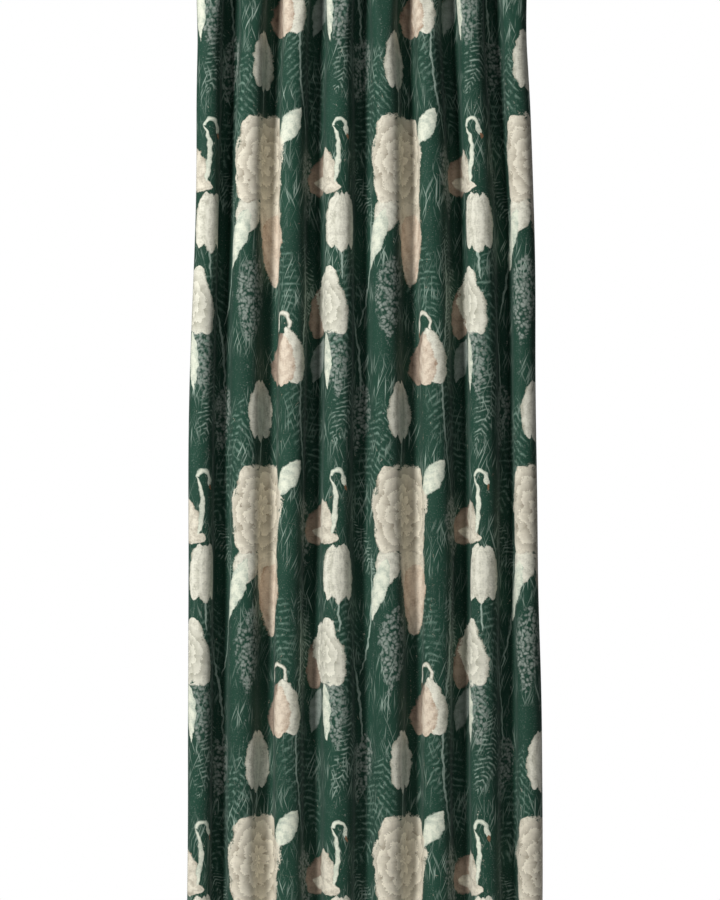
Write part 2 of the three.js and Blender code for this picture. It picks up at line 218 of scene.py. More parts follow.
class Level:
    """The folds at one depth below the top edge."""

    def __init__(self, depth, looseness):
        below = max(0.0, depth - HEADING_HEIGHT)
        spread = 1 - (1 - min(1, below / (CLOTH_HEIGHT - HEADING_HEIGHT))) ** 2
        loose = looseness * float(smooth(below / WANDER_FADE))
        pitch = HEADING_PITCH + (FOOT_PITCH - HEADING_PITCH) * spread
        number = np.arange(EYELET_COUNT)
        drift = np.concatenate([[0], np.cumsum(FOLD_SPARE)])
        wave = WAVE_SIZE * np.sin(2 * math.pi * depth / WAVE_LENGTH + WAVE_PHASE)
        self.crest = CREST_FLAT * (1 - float(smooth(below / CREST_FADE)))
        self.wall = Wall(VALLEY_SKEW * float(smooth(below / SKEW_FADE)))
        self.u = SIDE_INSET + FLAT_PITCH * number + loose * drift
        self.x = (number - (EYELET_COUNT - 1) / 2) * pitch + loose * (CREST_SHIFT + wave)
        even = self.wall.depth(FLAT_PITCH / 2 - self.crest, pitch / 2 - self.crest)
        lean = -even / 2 * float(smooth(below / LEAN_LENGTH))
        self.y = lean + loose * CREST_PUSH
        span = np.diff(self.u) - 2 * self.crest
        width = np.diff(self.x) - 2 * self.crest
        self.left_width = width / 2 + loose * VALLEY_SHIFT
        self.right_width = width - self.left_width
        low, high = self.left_width * 1.001, span - self.right_width * 1.001
        for _ in range(40):
            middle = (low + high) / 2
            left = self.y[:-1] + self.wall.depth(middle, self.left_width)
            right = self.y[1:] + self.wall.depth(span - middle, self.right_width)
            low = np.where(left < right, middle, low)
            high = np.where(left < right, high, middle)
        self.left = low
        self.right = span - low

    def place(self, u, n):
        """(x, y) of the points u along the flat cloth and n behind its front face."""
        u, n = np.broadcast_arrays(np.asarray(u, float), np.asarray(n, float))
        fold = np.clip(np.searchsorted(self.u, u) - 1, 0, EYELET_COUNT - 2)
        from_left = u < self.u[fold] + self.crest + self.left[fold]
        before, after = u < self.u[0], u > self.u[-1]
        rightwards = np.where(before, False, np.where(after, True, from_left))
        crest = np.where(before, 0, np.where(after, EYELET_COUNT - 1, fold + ~from_left))
        length = np.where(rightwards, self.left[fold], self.right[fold])
        width = np.where(rightwards, self.left_width[fold], self.right_width[fold])
        # the side flaps are cut-off walls that mirror the wall on the crest's other side
        length = np.where(before, self.left[0], np.where(after, self.right[-1], length))
        width = np.where(before, self.left_width[0], np.where(after, self.right_width[-1], width))
        side = np.where(rightwards, 1.0, -1.0)
        distance = np.abs(u - self.u[crest])
        share = np.maximum(0, distance - self.crest) / length
        swing = self.wall.swing(width / length)
        along, back = self.wall.point(swing, share)
        angle = swing * bearing(share, self.wall.skew)
        x = self.x[crest] + side * (
            np.minimum(distance, self.crest) + length * along - n * np.sin(angle))
        y = self.y[crest] + length * back + n * np.cos(angle)
        return x, y - HEADING_STACK / 2


def ripple(u, depth):
    """Small unevenness of the cloth, in metres towards the back."""
    fade = smooth((depth - 0.05) / 0.25)
    long_wave = np.sin(2 * math.pi * (u / 0.137 + 0.35 * np.sin(depth * 5.1)) + 1.3 * depth)
    short_wave = np.sin(2 * math.pi * (u / 0.059 + 0.5 * np.sin(depth * 3.3 + 1))) * np.sin(depth * 7.7)
    pull = np.exp(-((depth - 0.05) / 0.05) ** 2) * np.sin(2 * math.pi * (u - SIDE_INSET) / FLAT_PITCH * 3)
    return (0.9 * long_wave + 0.45 * short_wave) * fade * MM + 0.35 * MM * pull * smooth(depth / 0.04)


def sag(u, depth):
    """How far the cloth between two eyelets hangs below them."""
    between = np.clip((u - SIDE_INSET) / FLAT_PITCH, 0, EYELET_COUNT - 1)
    rise = np.abs(between - np.round(between)) * 2
    return 3.2 * MM * smooth((rise - 0.17) / 0.83) * (1 - 0.6 * smooth(depth / 0.9))


_levels = {}


def hang(u, n, depth, row_depth):
    """Points of the hanging cloth: u along it, n behind its front face, depth below its top edge.

    They follow the folds at row_depth.
    """
    looseness = bpy.context.scene.curtain_settings.looseness
    row = round(float(row_depth), 6)
    if (row, looseness) not in _levels:
        _levels[row, looseness] = Level(row, looseness)
    x, y = _levels[row, looseness].place(u, n + ripple(u, row))
    z = TOP_Z - depth - sag(u, row) + np.zeros_like(x)
    return np.stack([x, y, z], axis=-1)


def cloth_row(columns, n, depth):
    """A row of points across the hanging cloth."""
    return hang(columns, np.full(len(columns), n), np.full(len(columns), depth), depth)


def blend_with_draw(piece):
    """The piece's placement is applied to its mesh, and its vertex positions are read out."""
    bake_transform(piece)
    points = np.empty(3 * len(piece.data.vertices))
    piece.data.vertices.foreach_get("co", points)


# ------------------------------------------------------------------ meshes
def added(name, data):
    """A new object in the scene."""
    item = bpy.data.objects.new(name, data)
    bpy.context.scene.collection.objects.link(item)
    return item


def new_piece(name, vertices, faces, materials=(), smooth_angle=None):
    mesh = bpy.data.meshes.new(name)
    mesh.from_pydata([tuple(v) for v in vertices], [], [tuple(f) for f in faces])
    mesh.update()
    piece = added(name, mesh)
    for material in materials:
        mesh.materials.append(material)
    mesh.polygons.foreach_set("use_smooth", [True] * len(mesh.polygons))
    if smooth_angle is not None:
        mesh.set_sharp_from_angle(angle=smooth_angle)
    return piece


def outward(piece, merge=1e-7):
    """Doubles merged, then every face turned outwards."""
    shape = bmesh.new()
    shape.from_mesh(piece.data)
    bmesh.ops.remove_doubles(shape, verts=shape.verts, dist=merge)
    bmesh.ops.recalc_face_normals(shape, faces=shape.faces)
    shape.to_mesh(piece.data)
    shape.free()
    return piece


def applied(piece):
    """The piece with its modifiers' result as its plain mesh."""
    graph = bpy.context.evaluated_depsgraph_get()
    mesh = bpy.data.meshes.new_from_object(piece.evaluated_get(graph))
    piece.modifiers.clear()
    old = piece.data
    piece.data = mesh
    mesh.name = piece.name
    if old.users == 0:
        bpy.data.meshes.remove(old)
    return piece


class Shell:
    """A thin closed layer of cloth, woven in rows and columns.

    A row is (n, depth, out_n, out_depth, along): its place in the section, the direction there from
    the reverse to the printed face, and how far along the flat cloth it is. Rows run so that the
    printed face is on the left of their direction, seen with the front to the left and up above.
    """

    def __init__(self, columns, rows, holes=False, mirrored=False):
        self.columns = np.asarray(columns)
        count = len(columns)
        positions = {1: [], -1: []}
        flat = []
        for n, depth, out_n, out_depth, along in rows:
            u = self.columns.copy()
            v = np.full(count, depth)
            if holes:
                self._round_holes(u, v, depth)
            for side in (1, -1):
                half = side * CLOTH_THICKNESS / 2
                positions[side].append(hang(u, n + half * out_n, v + half * out_depth, depth))
            shift = v - depth
            flat.append(np.stack([-u if mirrored else u, along + shift * (1 if out_n < 0 else -1)], axis=-1))
        self.outer = np.concatenate(positions[1])
        self.inner = np.concatenate(positions[-1])
        self.flat = np.concatenate(flat)
        faces = []
        for j in range(len(rows) - 1):
            for i in range(count - 1):
                if holes and self._in_hole(rows[j][1], rows[j + 1][1], columns[i], columns[i + 1]):
                    continue
                a = j * count + i
                faces.append((a, a + count, a + count + 1, a + 1))
        self.faces = faces
        edges = {}
        for face in faces:
            for a, b in zip(face, face[1:] + face[:1]):
                edges[a, b] = (b, a) not in edges
                if not edges[a, b]:
                    edges[b, a] = False
        self.rim = [edge for edge, alone in edges.items() if alone]

    @staticmethod
    def _nearest_eyelet(u):
        number = np.clip(np.round((u - SIDE_INSET) / FLAT_PITCH), 0, EYELET_COUNT - 1)
        return SIDE_INSET + FLAT_PITCH * number

    def _round_holes(self, u, v, depth):
        """Grid points next to an eyelet's centre move out onto the hole's edge."""
        centre = self._nearest_eyelet(u)
        along, down = u - centre, v - TOP_INSET
        reach = np.maximum(np.abs(along), np.abs(down))
        near = (reach < 6 * MM) & (reach > MM)
        radius = np.hypot(along, down)
        u[near] = (centre + along / np.maximum(radius, MM) * HOLE_RADIUS)[near]
        v[near] = (TOP_INSET + down / np.maximum(radius, MM) * HOLE_RADIUS)[near]

    def _in_hole(self, depth_a, depth_b, u_a, u_b):
        middle = (u_a + u_b) / 2
        along = abs(middle - float(self._nearest_eyelet(middle)))
        down = abs((depth_a + depth_b) / 2 - TOP_INSET)
        return max(along, down) < 5 * MM


def shells_to_piece(name, shells, printed, reverse):
    """One mesh of several shells, with the cloth's own UV map and a second one that nothing overlaps."""
    vertices, faces, material, flat, sheet = [], [], [], [], []
    length = CLOTH_HEIGHT + HEADING_HEIGHT + HEM_HEIGHT
    rims = sum(len(shell.rim) for shell in shells)
    rim_at = 0
    half, margin = 0.5, 0.004
    for number, shell in enumerate(shells):
        start, count = len(vertices), len(shell.outer)
        vertices += list(shell.outer) + list(shell.inner)
        wide = shell.columns.max() - shell.columns.min()
        band = SIDE_BANDS[number]
        low, high = shell.flat[:, 1].min(), shell.flat[:, 1].max()
        across = np.abs(shell.flat[:, 0]) - np.abs(shell.flat[:, 0]).min()
        spread = (band[0] + (band[1] - band[0]) * across / wide,
                  0.02 + 0.97 * (high - shell.flat[:, 1]) / (high - low))
        for face in shell.faces:
            faces.append([start + i for i in face])
            material.append(0)
            flat += [shell.flat[i] for i in face]
            sheet += [(spread[0][i], spread[1][i]) for i in face]
        for face in shell.faces:
            turned = face[::-1]
            faces.append([start + count + i for i in turned])
            material.append(1)
            flat += [shell.flat[i] for i in turned]
            sheet += [(spread[0][i] + half, spread[1][i]) for i in turned]
        for a, b in shell.rim:
            faces.append([start + b, start + a, start + count + a, start + count + b])
            material.append(0)
            flat += [shell.flat[i] for i in (b, a, a, b)]
            x0, x1 = (margin + (1 - 2 * margin) * (rim_at + s) / rims for s in (0, 1))
            sheet += [(x1, 0.002), (x0, 0.002), (x0, 0.012), (x1, 0.012)]
            rim_at += 1
    piece = new_piece(name, vertices, faces, (printed, reverse))
    mesh = piece.data
    mesh.polygons.foreach_set("material_index", material)
    for title, values in (("Cloth", flat), ("OFBake", sheet)):
        layer = mesh.uv_layers.new(name=title)
        layer.data.foreach_set("uv", np.asarray(values, np.float32).ravel())
    mesh.uv_layers["Cloth"].active_render = True
    return piece


# where the panel and its two side hems lie across the left half of the second UV map
SIDE_BANDS = ((0.004, 0.478), (0.482, 0.488), (0.491, 0.497))


def arc_rows(centre_n, centre_depth, radius, start, end, steps, along):
    """Rows round a fold of the cloth, from one angle to another, measured from the back over the top."""
    rows = []
    for angle in np.linspace(start, end, steps + 1):
        out = (math.cos(angle), -math.sin(angle))
        rows.append((centre_n + radius * out[0], centre_depth + radius * out[1], *out,
                     along + radius * (angle - start)))
    return rows


def panel_rows():
    half = CLOTH_THICKNESS / 2
    turn = HEADING_STACK / 2 - half
    centre = HEADING_STACK / 2
    step = 5 * MM
    top = centre  # depth of the heading's fold centre
    heading = np.arange(round(HEADING_HEIGHT / step), 0, -1) * step
    rows = [(HEADING_STACK - half, d, 1, 0, -d) for d in heading]
    rows += arc_rows(centre, top, turn, 0, math.pi, 6, -turn * math.pi / 2)
    upper = np.arange(1, 11) * step
    lower = np.array([0.06, 0.07, 0.08, 0.095, 0.11, 0.125, 0.14])
    body = np.arange(0.16, 1.95, 0.02)
    foot = np.array([1.96, 1.97, 1.98, 1.99])
    rows += [(half, d, -1, 0, d) for d in np.concatenate([upper, lower, body, foot])]
    back = 2 * CLOTH_THICKNESS + HEM_POCKET
    radius = (back - CLOTH_THICKNESS) / 2
    middle = CLOTH_HEIGHT - half - radius
    rows += arc_rows(half + radius, middle, radius, math.pi, 2 * math.pi, 8, middle)
    end_n = CLOTH_THICKNESS * 2 + 0.25 * MM
    for d in (1.99, 1.985, 1.98, 1.975, 1.97):
        share = smooth((CLOTH_HEIGHT - d - radius) / (HEM_HEIGHT - radius))
        rows.append((back - half + (end_n - back) * share, d, 1, 0, 2 * CLOTH_HEIGHT - d))
    return rows


def side_hem_rows():
    n = 1.5 * CLOTH_THICKNESS + 0.15 * MM
    return [(n, d, 1, 0, d) for d in np.arange(1.96, 0.05, -0.02)]


def capped_faces(sections, sides):
    """Faces of a closed solid whose vertices are a run of sections with this many sides."""
    faces = []
    for c in range(sections - 1):
        for i in range(sides):
            a, b = c * sides + i, c * sides + (i + 1) % sides
            faces.append((a, a + sides, b + sides, b))
    last = sections * sides
    return faces + [tuple(range(sides)), tuple(range(last - 1, last - sides - 1, -1))]


def strip_piece(name, section, material):
    """A closed solid that carries a section, a loop of (n, depth) points, from side edge to side edge."""
    columns = np.linspace(0, CLOTH_WIDTH, 241)
    rings = [cloth_row(columns, n, d) for n, d in section]
    count = len(section)
    vertices = np.stack(rings, axis=1).reshape(-1, 3)
    faces = capped_faces(len(columns), count)
    piece = new_piece(name, vertices, faces, (material,), smooth_angle=math.radians(50))
    mesh = piece.data
    layer = mesh.uv_layers.new(name="Cloth")
    around = 2 * math.pi * CORD_RADIUS / count
    loops = np.empty(len(mesh.loops), int)
    mesh.loops.foreach_get("vertex_index", loops)
    flat = np.stack([columns[loops // count], loops % count * around], axis=-1)
    layer.data.foreach_set("uv", flat.astype(np.float32).ravel())
    return outward(piece)


def turned(profile, segments, centre, axis="y", closed=True):
    """Vertices and faces of a (radius, along) profile turned about an axis through a point.

    A profile that isn't closed starts and ends on the axis.
    """
    angles = np.linspace(0, 2 * math.pi, segments, endpoint=False)
    vertices, faces = [], []
    count = len(profile)
    for angle in angles:
        for radius, along in profile:
            a, b = radius * math.cos(angle), radius * math.sin(angle)
            offset = {"x": (along, a, b), "y": (a, along, b), "z": (a, b, along)}[axis]
            vertices.append(np.add(centre, offset))
    for s in range(segments):
        for i in range(count if closed else count - 1):
            here, there = s * count, (s + 1) % segments * count
            j = (i + 1) % count
            faces.append((here + i, here + j, there + j, there + i))
    return vertices, faces


# ------------------------------------------------------------------ node trees
class Nodes:
    """Adds nodes to a tree. Plain values are set on the sockets, and sockets are linked."""

    def __init__(self, tree):
        self.tree = tree

    def add(self, kind, inputs=(), **settings):
        node = self.tree.nodes.new(kind)
        for key, value in settings.items():
            setattr(node, key, value)
        pairs = inputs.items() if isinstance(inputs, dict) else enumerate(inputs)
        for key, value in pairs:
            if isinstance(value, bpy.types.NodeSocket):
                self.tree.links.new(value, node.inputs[key])
            elif value is not None:
                node.inputs[key].default_value = value
        return node

    def math(self, operation, *values, clamp=False):
        return self.add("ShaderNodeMath", values, operation=operation, use_clamp=clamp).outputs[0]

    def vector(self, operation, *values):
        return self.add("ShaderNodeVectorMath", values, operation=operation).outputs[0]

    def mix(self, share, low, high, blend="MIX"):
        node = self.add("ShaderNodeMix", {0: share, 6: low, 7: high}, data_type="RGBA",
                        blend_type=blend)
        return node.outputs[2]

    def noise(self, place, scale, detail=2.0, roughness=0.5):
        node = self.add("ShaderNodeTexNoise", {"Vector": place, "Scale": scale, "Detail": detail,
                                               "Roughness": roughness})
        return node.outputs["Fac"]

    def group(self, tree, **inputs):
        node = self.tree.nodes.new("ShaderNodeGroup")
        node.node_tree = tree
        for key, value in inputs.items():
            socket = node.inputs[key.replace("_", " ").capitalize()]
            if isinstance(value, bpy.types.NodeSocket):
                self.tree.links.new(value, socket)
            else:
                socket.default_value = value
        return node


def new_group(name, inputs, outputs):
    """A shader group with named sockets: (name, kind, default) in, (name, kind) out."""
    tree = bpy.data.node_groups.new(name, "ShaderNodeTree")
    for title, kind, default in inputs:
        socket = tree.interface.new_socket(name=title, in_out="INPUT", socket_type=kind)
        socket.default_value = default
    for title, kind in outputs:
        tree.interface.new_socket(name=title, in_out="OUTPUT", socket_type=kind)
    nodes = Nodes(tree)
    return tree, nodes, tree.nodes.new("NodeGroupInput").outputs, tree.nodes.new("NodeGroupOutput").inputs


FLOAT, VECTOR, COLOR = "NodeSocketFloat", "NodeSocketVector", "NodeSocketColor"
REPEAT = (0.474, 0.72)  # the print's repeat, across and down


def local_place(n, given):
    """The place on the cloth in a motif's own axes: from -1 to 1 over its width and its length."""
    offset = n.vector("SUBTRACT", given["Place"], given["Centre"])
    half = (REPEAT[0] / 2, REPEAT[1] / 2, 1)
    wrapped = n.add("ShaderNodeVectorMath", (offset, half, tuple(-h for h in half)), operation="WRAP")
    node = n.add("ShaderNodeMapping", {"Vector": wrapped.outputs[0], "Rotation": given["Turn"],
                                       "Scale": given["Size"]}, vector_type="TEXTURE")
    return node.outputs[0]


def halves(n, place):
    """A place's two coordinates."""
    return [n.add("ShaderNodeVectorMath", (place, axis), operation="DOT_PRODUCT").outputs["Value"]
            for axis in ((1, 0, 0), (0, 1, 0))]


MOTIF_INPUTS = (("Place", VECTOR, (0, 0, 0)), ("Brush", FLOAT, 0), ("Centre", VECTOR, (0, 0, 0)),
                ("Turn", VECTOR, (0, 0, 0)), ("Size", VECTOR, (1, 1, 1)))


def leaf_group():
    """A leaf, petal, feather or stem: outline, bend, veins and tone."""
    tree, n, given, out = new_group("motif_leaf", MOTIF_INPUTS + (
        ("Fullness", FLOAT, 1), ("Taper", FLOAT, 0), ("Bend", FLOAT, 0), ("Curl", FLOAT, 0),
        ("Ragged", FLOAT, 0.3), ("Veins", FLOAT, 0), ("Sweep", FLOAT, 0), ("Crisp", FLOAT, 9)),
        (("Mask", FLOAT), ("Tone", FLOAT), ("Vein", FLOAT)))
    across, along = halves(n, local_place(n, given))
    square = n.math("MULTIPLY", along, along)
    room = n.math("SUBTRACT", 1.0, square, clamp=True)
    bent = n.math("MULTIPLY_ADD", square, given["Bend"], across)
    curl = n.math("MULTIPLY", n.math("MULTIPLY", room, along), given["Curl"])
    bent = n.math("ADD", bent, curl)
    width = n.math("MULTIPLY", n.math("POWER", room, given["Fullness"]),
                   n.math("MULTIPLY_ADD", along, given["Taper"], 1.0))
    off = n.math("ABSOLUTE", bent)
    edge = n.math("MULTIPLY_ADD", given["Brush"], given["Ragged"], n.math("SUBTRACT", width, off))
    mask = n.math("MULTIPLY", n.math("SUBTRACT", edge, 0.04), given["Crisp"], clamp=True)
    share = n.math("DIVIDE", off, n.math("MAXIMUM", width, 0.05))
    wave = n.math("MULTIPLY_ADD", share, given["Sweep"], n.math("MULTIPLY", along, given["Veins"]))
    vein = n.math("MULTIPLY_ADD", n.math("SINE", wave), 0.5, 0.5)
    tone = n.math("MULTIPLY_ADD", n.math("MULTIPLY", share, share), 0.5, n.math("MULTIPLY", vein, 0.28))
    tone = n.math("MULTIPLY_ADD", given["Brush"], 1.2, tone, clamp=True)
    for socket, value in (("Mask", mask), ("Tone", tone), ("Vein", vein)):
        tree.links.new(value, out[socket])
    return tree


def bloom_group():
    """A full, ruffled flower seen from in front: rings of petals, each lit at its rim."""
    tree, n, given, out = new_group("motif_bloom", MOTIF_INPUTS + (
        ("Petals", FLOAT, 5), ("Rings", FLOAT, 4)), (("Mask", FLOAT), ("Tone", FLOAT)))
    local = local_place(n, given)
    across, along = halves(n, local)
    radius = n.add("ShaderNodeVectorMath", (local,), operation="LENGTH").outputs["Value"]
    angle = n.math("ARCTAN2", along, across)
    ring = n.math("FLOOR", n.math("MULTIPLY", radius, given["Rings"]))
    phase = n.math("MULTIPLY_ADD", ring, 2.3, n.math("MULTIPLY", angle, given["Petals"]))
    lobe = n.math("ABSOLUTE", n.math("SINE", phase))
    ruffled = n.math("MULTIPLY_ADD", lobe, -0.13, n.math("MULTIPLY_ADD", given["Brush"], 0.22, radius))
    within = n.math("FRACT", n.math("MULTIPLY", ruffled, given["Rings"]))
    seam = n.math("POWER", n.math("SUBTRACT", 1.0, lobe, clamp=True), 3.0)
    tone = n.math("MULTIPLY_ADD", within, -0.65, 0.62)
    tone = n.math("MULTIPLY_ADD", seam, 0.4, tone)
    tone = n.math("MULTIPLY_ADD", given["Brush"], 0.9, tone, clamp=True)
    mask = n.math("MULTIPLY", n.math("SUBTRACT", 0.9, ruffled), 14.0, clamp=True)
    tree.links.new(mask, out["Mask"])
    tree.links.new(tone, out["Tone"])
    return tree


def arc_group():
    """Part of a ring, for a bird's curved neck and for drooping stalks."""
    tree, n, given, out = new_group("motif_arc", MOTIF_INPUTS + (
        ("Reach", FLOAT, 1.5), ("Thick", FLOAT, 0.2)), (("Mask", FLOAT), ("Tone", FLOAT)))
    local = local_place(n, given)
    across, along = halves(n, local)
    radius = n.add("ShaderNodeVectorMath", (local,), operation="LENGTH").outputs["Value"]
    turn = n.math("ABSOLUTE", n.math("ARCTAN2", across, along))
    off = n.math("ABSOLUTE", n.math("SUBTRACT", radius, 1.0))
    band = n.math("MULTIPLY", n.math("SUBTRACT", given["Thick"], off), 9.0, clamp=True)
    span = n.math("MULTIPLY", n.math("SUBTRACT", given["Reach"], turn), 8.0, clamp=True)
    tree.links.new(n.math("MULTIPLY", band, span), out["Mask"])
    tree.links.new(n.math("MULTIPLY_ADD", given["Brush"], 1.0, n.math("DIVIDE", off, given["Thick"]),
                          clamp=True), out["Tone"])
    return tree


def paint_group():
    """One coat of the print: a motif in two colours over what lies under it."""
    tree, n, given, out = new_group("print_coat", (
        ("Under", COLOR, (0, 0, 0, 1)), ("Mask", FLOAT, 0), ("Tone", FLOAT, 0),
        ("Light", COLOR, (1, 1, 1, 1)), ("Dark", COLOR, (0, 0, 0, 1))), (("Color", COLOR),))
    ink = n.mix(given["Tone"], given["Light"], given["Dark"])
    tree.links.new(n.mix(given["Mask"], given["Under"], ink), out["Color"])
    return tree


# Inks of the print: the light and the dark colour of each.
INKS = {
    "pale": ((0.74, 0.76, 0.62), (0.30, 0.37, 0.30)),
    "cream": ((0.74, 0.69, 0.56), (0.31, 0.27, 0.20)),
    "ivory": ((0.76, 0.74, 0.62), (0.36, 0.35, 0.27)),
    "blush": ((0.72, 0.62, 0.49), (0.36, 0.25, 0.17)),
    # painted shade: this ink is the cream and blush of petals and feathers as they look in shade
    "shade_brown": ((0.36, 0.28, 0.21), (0.13, 0.09, 0.065)),
    "beak": ((0.30, 0.16, 0.08), (0.05, 0.03, 0.02)),
    "sage": ((0.33, 0.42, 0.35), (0.09, 0.16, 0.12)),
    "mist": ((0.17, 0.26, 0.205), (0.04, 0.10, 0.07)),
    "lilac": ((0.27, 0.31, 0.27), (0.10, 0.14, 0.115)),
}

# The print's motifs in the order in which they are laid over each other. Each has its kind, ink,
# centre on the cloth (across, down), turn in degrees, and width and length, all in millimetres.
# A motif that points down has its tip at the end of its length where down is positive.
LEAVES = dict(fullness=0.9, veins=15.0, sweep=-5.0, ragged=0.3)
PETALS = dict(fullness=0.5, veins=1.0, sweep=9.0, ragged=0.35)
FERNS = dict(fullness=0.9, veins=66.0, sweep=-11.0, ragged=0.7)
STALKS = dict(fullness=0.4, veins=0.0, sweep=0.0, ragged=0.0, crisp=3.0)
FEATHERS = dict(fullness=0.6, veins=9.0, sweep=7.0, ragged=0.35)
MOTIFS = [
    ("fern", "mist", (70, 10), 12, (120, 330), dict(bend=0.3)),
    ("fern", "mist", (392, 236), -16, (120, 300), dict(bend=-0.3)),
    ("fern", "mist", (160, 330), 22, (110, 300), dict(bend=0.4)),
    ("fern", "mist", (300, 640), -24, (120, 280), {}),
    ("fern", "sage", (72, 196), 14, (70, 210), dict(bend=0.35)),
    ("fern", "sage", (400, 640), -12, (60, 190), dict(bend=-0.3)),
    ("fern", "sage", (130, 500), -30, (56, 170), {}),
    ("fern", "sage", (400, 30), 8, (54, 190), {}),
    ("leaf", "sage", (386, 712), 3, (7, 250), dict(STALKS, bend=3.0)),
    ("leaf", "sage", (372, 250), -5, (6, 280), dict(STALKS, bend=-4.0)),
    ("leaf", "sage", (150, 640), 8, (6, 260), dict(STALKS, bend=4.0)),
    ("leaf", "sage", (310, 520), -3, (9, 250), dict(STALKS, bend=2.0)),
    ("leaf", "sage", (118, 80), -9, (6, 230), dict(STALKS, bend=4.0)),
    ("cone", "lilac", (211, 712), 4, (76, 190), {}),
    ("cone", "lilac", (40, 118), -6, (62, 160), {}),
    ("cone", "lilac", (122, 236), 8, (60, 150), {}),
    ("cone", "lilac", (406, 470), -6, (60, 170), {}),
    ("leaf", "pale", (346, 356), 34, (50, 92), {}),
    ("leaf", "ivory", (200, 536), 12, (66, 90), {}),
    ("leaf", "pale", (176, 588), 20, (42, 140), dict(taper=-0.3)),
    ("petal", "cream", (276, 560), -3, (95, 150), dict(taper=-0.3, veins=6.0)),
    ("petal", "blush", (284, 610), 3, (80, 150), dict(taper=-0.45, veins=8.0)),
    ("petal", "cream", (208, 470), 24, (72, 92), {}),
    ("petal", "cream", (284, 472), -26, (72, 92), {}),
    ("petal", "cream", (278, 378), 26, (70, 92), {}),
    ("petal", "cream", (214, 376), -24, (70, 92), {}),
    ("bloom", "cream", (246, 424), 10, (176, 198), dict(petals=3.5, rings=4.4)),
    # painted shade: the swan's body is printed in the shaded ink of its cream feathers
    ("leaf", "shade_brown", (462, 448), 42, (74, 112), dict(FEATHERS, taper=0.2)),
    ("leaf", "cream", (486, 446), -10, (62, 98), FEATHERS),
    ("leaf", "cream", (480, 474), -80, (38, 96), FEATHERS),
    ("leaf", "pale", (519, 412), -3, (13, 118), dict(STALKS, curl=0.8, bend=1.5, taper=0.2)),
    ("arc", "pale", (522, 356), 176, (26, 30), dict(reach=1.5, thick=0.34)),
    ("leaf", "pale", (536, 362), -12, (12, 24), dict(fullness=0.5)),
    ("leaf", "beak", (540, 376), -18, (6, 15), dict(fullness=0.9)),
    ("leaf", "sage", (526, 632), -4, (6, 80), STALKS),
    ("petal", "ivory", (508, 550), 7, (46, 118), dict(fullness=0.62)),
    ("petal", "ivory", (544, 550), -7, (46, 118), dict(fullness=0.62)),
    ("petal", "ivory", (526, 556), 0, (52, 124), dict(sweep=13.0, fullness=0.7)),
    ("leaf", "lilac", (446, 836), 18, (42, 100), dict(taper=-0.3)),
    ("leaf", "pale", (492, 838), -4, (32, 126), dict(taper=-0.3)),
    # painted shade: the bloom's left petal is printed in the shaded ink of its ivory petals
    ("petal", "shade_brown", (452, 732), 14, (62, 124), {}),
    ("petal", "ivory", (512, 726), -14, (62, 118), {}),
    ("petal", "ivory", (494, 690), 8, (56, 96), {}),
    ("bloom", "ivory", (486, 718), -14, (96, 134), dict(petals=3.0, rings=3.3)),
    ("arc", "ivory", (326, 762), 180, (38, 46), dict(reach=2.0, thick=0.24)),
    ("leaf", "ivory", (309, 766), 14, (13, 28), dict(fullness=0.5)),
    ("leaf", "beak", (305, 782), 16, (6, 16), dict(fullness=0.9)),
    # painted shade: the second swan's body is printed in the shaded ink of its feathers
    ("leaf", "shade_brown", (312, 832), 20, (70, 118), dict(FEATHERS, taper=0.3)),
    ("leaf", "ivory", (350, 826), -12, (64, 122), dict(FEATHERS, taper=0.25)),
    ("leaf", "blush", (330, 836), 3, (58, 108), dict(FEATHERS, taper=0.35, veins=14.0)),
    ("leaf", "sage", (242, 1014), 5, (6, 80), STALKS),
    ("petal", "ivory", (226, 936), 6, (48, 122), dict(fullness=0.62)),
    ("petal", "ivory", (254, 936), -6, (48, 122), dict(fullness=0.62)),
    ("petal", "ivory", (240, 942), 0, (52, 128), dict(sweep=13.0, fullness=0.7)),
]
KINDS = {"leaf": LEAVES, "petal": PETALS, "fern": FERNS, "cone": dict(fullness=0.8, ragged=0.8, taper=-0.4),
         "bloom": {}, "arc": {}}


